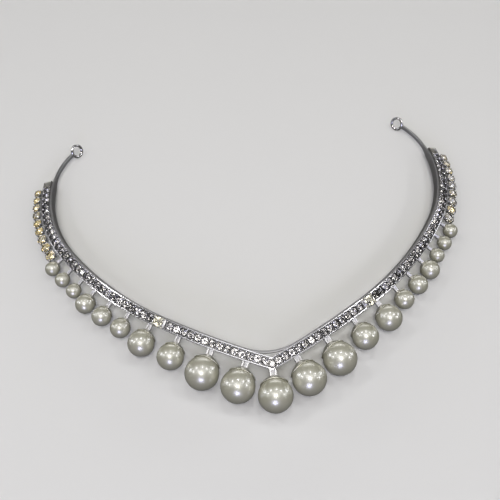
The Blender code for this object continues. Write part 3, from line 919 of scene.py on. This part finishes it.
def end_loops():
    """A wire ring at each end of the hairband, standing in the plane of the strip."""
    wire_radius, steps, sides = 0.46 * MM, 48, 14
    rings = []
    for number in range(steps + 1):
        angle = 2 * math.pi * number / steps
        spoke = Vector((math.cos(angle), math.sin(angle), 0))
        ring = []
        for corner in range(sides):
            turn = 2 * math.pi * corner / sides
            reach = LOOP_RADIUS + wire_radius * math.cos(turn)
            ring.append(spoke * reach + Vector((0, 0, wire_radius * math.sin(turn))))
        rings.append(ring)
    rows = []
    for side in (-1, 1):
        seat = Seat(side * BAND_LENGTH)
        centre = seat.point(LOOP_RADIUS, -HALF_WIDTH + BAND_LAP - BAND_THICKNESS / 2,
                            BAND_TOP - BAND_HEIGHT / 2)
        rows.append(copy_row(centre, seat.out, seat.along, 1.0))
    return repeated("end_loops", pattern("loop", rings), rows, ("rhodium",), ROUND_CREASE)


def stone_row(name, places):
    """The stones of one row."""
    sizes = bpy.context.scene.tiara_sizes
    rows = [upright(Seat(along), 0, GIRDLE_LEVEL, sizes.stone_diameter) for along in places]
    form = cut_stone("row_stone", crown=0.16, pavilion=0.42)
    return repeated(name, form, rows, ("stone", "stone_foil"),
                    sharp=0, turn=sizes.stone_turn, tilt=sizes.stone_tilt)


def row_beads():
    """Beads of metal on both sides of each gap between stones, pushed over the stones' edges."""
    offset = 1.1 * MM
    # radius, height, both in millimetres
    profile = ((0, -0.9), (0.24, -0.9), (0.27, -0.1), (0.23, 0.06), (0.13, 0.15), (0, 0.18))
    form = turned("bead", [(radius * MM, height * MM) for radius, height in profile], 12)
    rows = []
    for places in row_places():
        gaps = [along + STONE_PITCH / 2 for along in places]
        gaps.insert(0, min(places) - STONE_PITCH / 2)
        rows += [upright(Seat(along), side * offset, 0, 1.0) for along in gaps for side in (-1, 1)]
    return repeated("row_beads", form, rows, ("rhodium",), CLAW_CREASE)


def channel_bed():
    """A dark strip at the bottom of the channel, under the points of the stones: a sheet of painted
    shade laid in the recess.
    """
    clear = 0.02 * MM
    half = HALF_WIDTH - bpy.context.scene.tiara_sizes.rail_width - clear
    top, bottom = -1.15 * MM, -1.35 * MM
    outline = [(-half, bottom), (half, bottom), (half, top), (-half, top)]
    rows = [channel_stop(along) for along in stops(CHANNEL_LENGTH - END_WALL, 2 * STOP_STEP)]
    # the strip takes the trough's painted shade
    return swept("channel_bed", outline, rows, "trough")


def accent_stones():
    """The two larger stones over the joints of the channel."""
    form = cut_stone("accent_stone", crown=0.17, pavilion=0.40)
    rows = upright_pair(ARM_LENGTH, ACCENT_LEVEL, ACCENT_DIAMETER)
    return repeated("accent_stones", form, rows, ("accent", "accent_foil"),
                    sharp=0, turn=0.4, tilt=0.1)


def accent_collets():
    """The tapered ring under each accent stone."""
    radius = ACCENT_DIAMETER / 2
    top, foot = ACCENT_LEVEL - 0.2 * MM, -0.25 * MM
    middle = (top + foot) / 2
    lip, base = radius - 0.15 * MM, radius - 0.1 * MM
    inside = base - COLLET_WALL
    profile = [
        (lip, top), (radius + 0.05 * MM, top + 0.08 * MM), (radius + 0.2 * MM, top),
        (radius + 0.1 * MM, middle), (base, foot), (inside, foot), (inside, middle), (lip, top),
    ]
    rows = upright_pair(ARM_LENGTH, 0, 1.0)
    return repeated("accent_collets", turned("collet", profile, 32), rows, ("rhodium",))


def accent_plates():
    """The plate inside the channel on which each accent stone's collet stands."""
    half_length, half_width, corner_radius = 2.05 * MM, 1.27 * MM, 0.3 * MM
    bottom, top, bevel = -1.2 * MM, -0.2 * MM, 0.08 * MM
    form = prism("plate", rounded_box(half_length, half_width, corner_radius),
                 ((bottom, 1.0), (top - bevel, 1.0), (top, 0.95)))
    return repeated("accent_plates", form, upright_pair(ARM_LENGTH, 0, 1.0), ("satin",))


def claw(name, height, lean, width):
    """A claw that rises from its foot, bends in over a stone's edge and ends in a rounded tip."""
    sides, steepest = 8, math.radians(80)
    # share of the lean, share of the height, share of the width
    spine = (
        (0.0, 0.0, 1.0), (0.0, 0.55, 0.95), (0.02, 0.8, 0.95), (0.25, 0.97, 0.9),
        (0.6, 1.04, 0.8), (0.9, 1.02, 0.6), (1.0, 1.0, 0.0),
    )
    rings = [[Vector((0, 0, 0))]]
    for bend, rise, share in spine:
        centre = Vector((lean * bend, 0, height * rise))
        if share == 0:
            rings.append([centre])
            continue
        slant = steepest * min(1.0, max(0.0, bend * 2))
        normal = Vector((math.cos(slant), 0, -math.sin(slant)))
        radius = width / 2 * share
        turns = [2 * math.pi * corner / sides for corner in range(sides)]
        rings.append([centre + normal * (radius * math.cos(turn))
                      + Vector((0, radius * math.sin(turn), 0)) for turn in turns])
    return pattern(name, rings)


def claw_rows(seat, out, up, radius, size):
    """Four claws round a stone, each leaning towards its middle."""
    rows = []
    for quarter in range(4):
        angle = math.pi / 4 + quarter * math.pi / 2
        spoke = seat.along * math.cos(angle) + seat.out * math.sin(angle)
        rows.append(copy_row(seat.point(0, out, up) + spoke * radius, seat.up, -spoke, size))
    return rows


def accent_claws():
    """Four claws over the edge of each accent stone."""
    radius = ACCENT_DIAMETER / 2 + 0.18 * MM
    rows = []
    for side in (-1, 1):
        rows += claw_rows(Seat(side * ARM_LENGTH), 0, 0, radius, 1.0)
    form = claw("accent_claw", height=ACCENT_LEVEL + 0.34 * MM, lean=0.52 * MM, width=0.82 * MM)
    return repeated("accent_claws", form, rows, ("cup",), CLAW_CREASE)


def pearl_rows(share):
    """Rows for a form round the middle of each pearl, at a share of the pearl's diameter."""
    return [outward(Seat(along), pearl_reach(diameter), PEARL_LEVEL, diameter * share)
            for along, diameter in both_sides(pearl_places())]


def pearls_piece():
    """The pearls: nearly round, drilled on the side of the post."""
    full = bpy.context.scene.tiara_sizes.pearl_fullness / 100
    hole, drilled_to, steps = 0.07, -0.28, 28
    start = math.asin(hole / 0.5)
    profile = [(0, drilled_to), (hole, drilled_to)]
    for number in range(steps + 1):
        angle = start + (math.pi - start) * number / steps
        swell = 0.5 + 0.0025 * math.cos(3 * angle) - 0.002 * math.cos(5 * angle)
        profile.append((swell * math.sin(angle), -swell * math.cos(angle)))
    profile[-1] = (0, profile[-1][1])
    return repeated("pearls", turned("pearl", profile, 40), pearl_rows(full), ("pearl",),
                    ROUND_CREASE, turn=math.pi)


def pearl_cups():
    """A thin cup on the inner side of each pearl, cut lower on the stones' side, with its peg."""
    sizes = bpy.context.scene.tiara_sizes
    inner, outer, neck, flare, lip, steps, sides = 0.5, 0.52, 0.04, 0.008, 0.004, 8, 48
    peg, peg_foot, peg_tip = 0.045, -0.495, -0.3
    shares = [step / steps for step in range(1, steps + 1)]
    # radius of the cup's wall, share of the angle that it reaches
    wall = [(outer + neck * (1 - share) ** 2 + flare * share ** 4, share) for share in shares]
    wall += [(outer + flare - lip, 1.02), (inner + flare + lip, 1.02)]
    wall += [(inner + flare * share ** 4, share) for share in reversed(shares[1:])]
    turns = [2 * math.pi * number / sides for number in range(sides)]
    rings = [[Vector((0, 0, -outer - neck))]]
    for radius, share in wall:
        ring = []
        for turn in turns:
            polar = share * (sizes.cup_angle - sizes.cup_scoop * math.sin(turn))
            reach = radius * math.sin(polar)
            ring.append(Vector((reach * math.cos(turn), reach * math.sin(turn),
                                -radius * math.cos(polar))))
        rings.append(ring)
    for height in (peg_foot, peg_tip):
        rings.append([Vector((peg * math.cos(turn), peg * math.sin(turn), height))
                      for turn in turns])
    rings.append([Vector((0, 0, peg_tip))])
    return repeated("pearl_cups", pattern("cup", rings), pearl_rows(1.0), ("cup",), ROUND_CREASE)


def pearl_posts():
    """The flat post from the channel to each cup, its middle sunk between two bright edges."""
    share = bpy.context.scene.tiara_sizes.post_width / 100
    edge, sunk, thickness, inside_cup = 0.26, -0.05, 0.8 * MM, 0.55
    outline = round_corners(
        ((-0.5, -0.5), (0.5, -0.5), (0.5, 0.5), (edge, 0.5), (0.0, sunk), (-edge, 0.5),
         (-0.5, 0.5)),
        (0.12, 0.12, 0.08, 0.08, 0.03, 0.08, 0.08), 2)
    rows = []
    start = HALF_WIDTH - 0.1 * MM
    for along, diameter in both_sides(pearl_places()):
        length = pearl_reach(diameter) - inside_cup * diameter - start
        size = Vector((share * diameter, thickness, length))
        rows.append(outward(Seat(along), start, PEARL_LEVEL, size))
    form = prism("post", outline, ((0.0, 1.0), (1.0, 1.0)))
    return repeated("pearl_posts", form, rows, ("satin",))


def crystal_rows():
    """Rows for a form that stands under or round each crystal, at the crystal's diameter."""
    return [upright(Seat(along), crystal_reach(diameter), CRYSTAL_LEVEL, diameter)
            for along, diameter in both_sides(crystal_places())]


def crystals_piece():
    """The small crystals after the last pearls."""
    form = cut_stone("crystal", crown=0.16, pavilion=0.40)
    return repeated("crystals", form, crystal_rows(), ("crystal", "crystal_foil"),
                    sharp=0, turn=0.6)


def crystal_cups():
    """The tapered cup under each crystal."""
    # radius, height, both as shares of the crystal's diameter
    profile = (
        (0, -0.56), (0.20, -0.56), (0.47, -0.12), (0.53, -0.04), (0.52, -0.01), (0.49, -0.02),
        (0.44, -0.12), (0.16, -0.48), (0, -0.48),
    )
    return repeated("crystal_cups", turned("setting", profile, 24), crystal_rows(), ("rhodium",))


def crystal_claws():
    """Four small claws over the edge of each crystal."""
    foot, radius = -0.35, 0.51
    rows = []
    for along, diameter in both_sides(crystal_places()):
        rows += claw_rows(Seat(along), crystal_reach(diameter), CRYSTAL_LEVEL + foot * diameter,
                          radius * diameter, diameter)
    form = claw("crystal_claw", height=0.42, lean=0.16, width=0.15)
    return repeated("crystal_claws", form, rows, ("rhodium",), CLAW_CREASE)


def crystal_bars():
    """The short bar from the channel to each crystal's cup."""
    width, thickness, inside_cup, level = 1.0 * MM, 0.6 * MM, 0.32, -0.3
    rows = []
    start = HALF_WIDTH - 0.1 * MM
    for along, diameter in both_sides(crystal_places()):
        length = crystal_reach(diameter) - inside_cup * diameter - start
        size = Vector((width, thickness, length))
        rows.append(outward(Seat(along), start, CRYSTAL_LEVEL + level * diameter, size))
    form = prism("bar", rounded_box(0.5, 0.5, 0.2, 2), ((0.0, 1.0), (1.0, 1.0)))
    return repeated("crystal_bars", form, rows, ("satin",))


def metalwork(*makers):
    """Makes pieces of the soldered metal, which the band_frame node stands for."""
    for maker in makers:
        mounted(maker(), "rhodium_plate", "band_frame")


def numbered(word, last, digits):
    """The names of a row of nodes, the left half's first."""
    return [f"{word}_{side}_{number:0{digits}d}"
            for side in ("left", "right") for number in range(1, last + 1)]


class TIARA_OT_hairband(bpy.types.Operator):
    """Adds the hairband strip and its end loops"""

    bl_idname = "tiara.hairband"
    bl_label = "Hairband"

    def execute(self, context):
        metalwork(hairband_piece, end_loops)
        return {"FINISHED"}


class TIARA_OT_channel(bpy.types.Operator):
    """Adds the V-fronted channel that holds the stones"""

    bl_idname = "tiara.channel"
    bl_label = "Channel"

    def execute(self, context):
        metalwork(channel_piece, channel_ends, channel_bed, row_beads)
        return {"FINISHED"}


class TIARA_OT_channel_stones(bpy.types.Operator):
    """Adds the three rows of round stones"""

    bl_idname = "tiara.channel_stones"
    bl_label = "Channel stones"

    def execute(self, context):
        for word, places in zip(("front", "left", "right"), row_places()):
            made = stone_row(f"{word}_row_stones", places)
            mounted(made, "channel_stone", f"stone_row_{word}")
        return {"FINISHED"}


class TIARA_OT_accents(bpy.types.Operator):
    """Adds the two accent stones in their claws"""

    bl_idname = "tiara.accents"
    bl_label = "Accent stones"

    def execute(self, context):
        mounted(accent_stones(), "accent_crystal", "accent_stone_left", "accent_stone_right")
        metalwork(accent_collets, accent_plates, accent_claws)
        return {"FINISHED"}


class TIARA_OT_pearls(bpy.types.Operator):
    """Adds the pearls"""

    bl_idname = "tiara.pearls"
    bl_label = "Pearls"

    def execute(self, context):
        sides = numbered("pearl", len(PEARL_TABLE), 2)
        mounted(pearls_piece(), "pearl_coat", "pearl_centre", *sides)
        return {"FINISHED"}


class TIARA_OT_pearl_mounts(bpy.types.Operator):
    """Adds the post and the cup of each pearl"""

    bl_idname = "tiara.pearl_mounts"
    bl_label = "Pearl mounts"

    def execute(self, context):
        metalwork(pearl_posts, pearl_cups)
        return {"FINISHED"}


class TIARA_OT_crystals(bpy.types.Operator):
    """Adds the small crystals"""

    bl_idname = "tiara.crystals"
    bl_label = "Crystals"

    def execute(self, context):
        mounted(crystals_piece(), "crystal", *numbered("crystal", CRYSTAL_COUNT, 1))
        return {"FINISHED"}


class TIARA_OT_crystal_settings(bpy.types.Operator):
    """Adds the cup, claws and bar of each crystal"""

    bl_idname = "tiara.crystal_settings"
    bl_label = "Crystal settings"

    def execute(self, context):
        metalwork(crystal_cups, crystal_claws, crystal_bars)
        return {"FINISHED"}


def view_axes():
    """The view's forward, right and up directions."""
    level = math.cos(VIEW_ELEVATION)
    forward = Vector((math.sin(VIEW_AZIMUTH) * level, math.cos(VIEW_AZIMUTH) * level,
                      -math.sin(VIEW_ELEVATION)))
    right = Vector((math.cos(VIEW_AZIMUTH), -math.sin(VIEW_AZIMUTH), 0))
    up = right.cross(forward)
    turned_right = right * math.cos(VIEW_ROLL) + up * math.sin(VIEW_ROLL)
    turned_up = up * math.cos(VIEW_ROLL) - right * math.sin(VIEW_ROLL)
    return forward, turned_right, turned_up


def add_camera():
    forward, right, up = view_axes()
    data = bpy.data.cameras.new("photograph_view")
    data.sensor_width = SENSOR
    data.lens = FOCAL_PIXELS / PICTURE_PIXELS * SENSOR
    data.clip_start = 0.01
    camera = placed("photograph_view", data)
    turn = Matrix((right, up, -forward)).transposed().to_4x4()
    camera.matrix_world = Matrix.Translation(VIEW_AIM - forward * VIEW_DISTANCE) @ turn
    bpy.context.scene.camera = camera


WHITE, COOL, PANEL = (1.0, 1.0, 1.0), (0.95, 0.97, 1.0), (0.97, 0.97, 1.0)
LAMPS = (
    # name, direction from the pearls (right, up, toward the view), width, height,
    # share of the lamp power, colour, spread in degrees
    ("main_lamp", (0.00, 0.18, 0.98), 0.25, 0.25, 1.0, (1.0, 0.98, 0.91), 180),
    ("low_window", (-0.06, -0.60, 0.79), 0.36, 0.36, 0.95, (0.74, 0.75, 1.0), 180),
    ("left_panel", (-0.27, 0.36, 0.89), 0.30, 0.30, 0.22, PANEL, 180),
    ("right_panel", (0.40, 0.39, 0.82), 0.30, 0.30, 0.10, PANEL, 180),
    ("back_window", (0.00, 0.93, -0.36), 0.80, 0.24, 0.5, (1.0, 0.99, 0.96), 180),
    ("ceiling_1", (0.06, 0.75, 0.66), 0.10, 0.10, 0.26, WHITE, 180),
    ("ceiling_2", (-0.53, 0.61, 0.59), 0.10, 0.10, 0.26, WHITE, 180),
    ("ceiling_3", (0.54, 0.56, 0.63), 0.10, 0.10, 0.26, WHITE, 180),
    ("ceiling_4", (-0.78, 0.23, 0.58), 0.10, 0.10, 0.26, WHITE, 180),
    ("ceiling_5", (0.85, 0.16, 0.50), 0.10, 0.10, 0.26, WHITE, 180),
    ("left_window", (-0.94, 0.30, 0.15), 0.14, 0.32, 0.025, COOL, 50),
    ("right_window", (0.91, 0.40, 0.08), 0.14, 0.32, 0.025, COOL, 50),
)


def add_lamps():
    stage = bpy.context.scene.tiara_stage
    forward, right, up = view_axes()
    for name, (across, rise, toward), width, height, share, colour, spread in LAMPS:
        data = bpy.data.lights.new(name, "AREA")
        data.shape = "ELLIPSE"
        data.size = width
        data.size_y = height
        data.energy = stage.lamp_power * share
        data.color = colour
        data.spread = math.radians(spread)
        direction = (right * across + up * rise - forward * toward).normalized()
        lamp = placed(name, data)
        turn = direction.to_track_quat("Z", "Y").to_matrix().to_4x4()
        lamp.matrix_world = Matrix.Translation(direction * stage.lamp_distance) @ turn
        lamp.visible_camera = False


def add_room_light():
    world = bpy.data.worlds.new("studio_room")
    world.use_nodes = True
    sky = world.node_tree.nodes["Background"]
    sky.inputs["Color"].default_value = (1.0, 0.985, 0.91, 1.0)
    sky.inputs["Strength"].default_value = bpy.context.scene.tiara_stage.room_light
    bpy.context.scene.world = world
    bpy.context.scene.view_settings.view_transform = "Standard"


class TIARA_OT_stage(bpy.types.Operator):
    """Adds the floor, the lamps and the camera"""

    bl_idname = "tiara.stage"
    bl_label = "Stage"

    def execute(self, context):
        flat, curve, wall, steps = 0.8, 0.6, 2.0, 10
        bend = [math.radians(90 * step / steps) for step in range(steps + 1)]
        profile = [(0, 0), *((flat + curve * math.sin(angle), curve - curve * math.cos(angle))
                             for angle in bend), (flat + curve, wall)]
        floor = turned("floor", profile, 96)
        floor.data.shade_smooth()
        floor.data.materials.append(floor_finish())
        floor.visible_glossy = False
        floor.visible_diffuse = False
        add_camera()
        add_lamps()
        add_room_light()
        return {"FINISHED"}


PIECE_OPERATORS = (
    TIARA_OT_hairband,
    TIARA_OT_channel,
    TIARA_OT_channel_stones,
    TIARA_OT_accents,
    TIARA_OT_pearls,
    TIARA_OT_pearl_mounts,
    TIARA_OT_crystals,
    TIARA_OT_crystal_settings,
    TIARA_OT_stage,
)


class TIARA_PT_panel(bpy.types.Panel):
    """Lists the tiara's pieces with their sizes and colours"""

    bl_idname = "TIARA_PT_panel"
    bl_label = "Pearl tiara"
    bl_space_type = "VIEW_3D"
    bl_region_type = "UI"
    bl_category = "Tiara"

    def draw(self, context):
        scene = context.scene
        for group in (scene.tiara_sizes, scene.tiara_finishes, scene.tiara_stage):
            column = self.layout.column(align=True)
            for key in group.__annotations__:
                column.prop(group, key)
        for operator in PIECE_OPERATORS:
            self.layout.operator(operator.bl_idname)


CLASSES = (Sizes, Finishes, Stage, *PIECE_OPERATORS, TIARA_PT_panel)


def register():
    for cls in CLASSES:
        bpy.utils.register_class(cls)
    bpy.types.Scene.tiara_sizes = PointerProperty(type=Sizes)
    bpy.types.Scene.tiara_finishes = PointerProperty(type=Finishes)
    bpy.types.Scene.tiara_stage = PointerProperty(type=Stage)


def unregister():
    del bpy.types.Scene.tiara_stage
    del bpy.types.Scene.tiara_finishes
    del bpy.types.Scene.tiara_sizes
    for cls in reversed(CLASSES):
        bpy.utils.unregister_class(cls)


def main():
    register()
    bpy.ops.tiara.hairband()
    bpy.ops.tiara.channel()
    bpy.ops.tiara.channel_stones()
    bpy.ops.tiara.accents()
    bpy.ops.tiara.pearls()
    bpy.ops.tiara.pearl_mounts()
    bpy.ops.tiara.crystals()
    bpy.ops.tiara.crystal_settings()
    bpy.ops.tiara.stage()


if __name__ == "__main__":
    main()
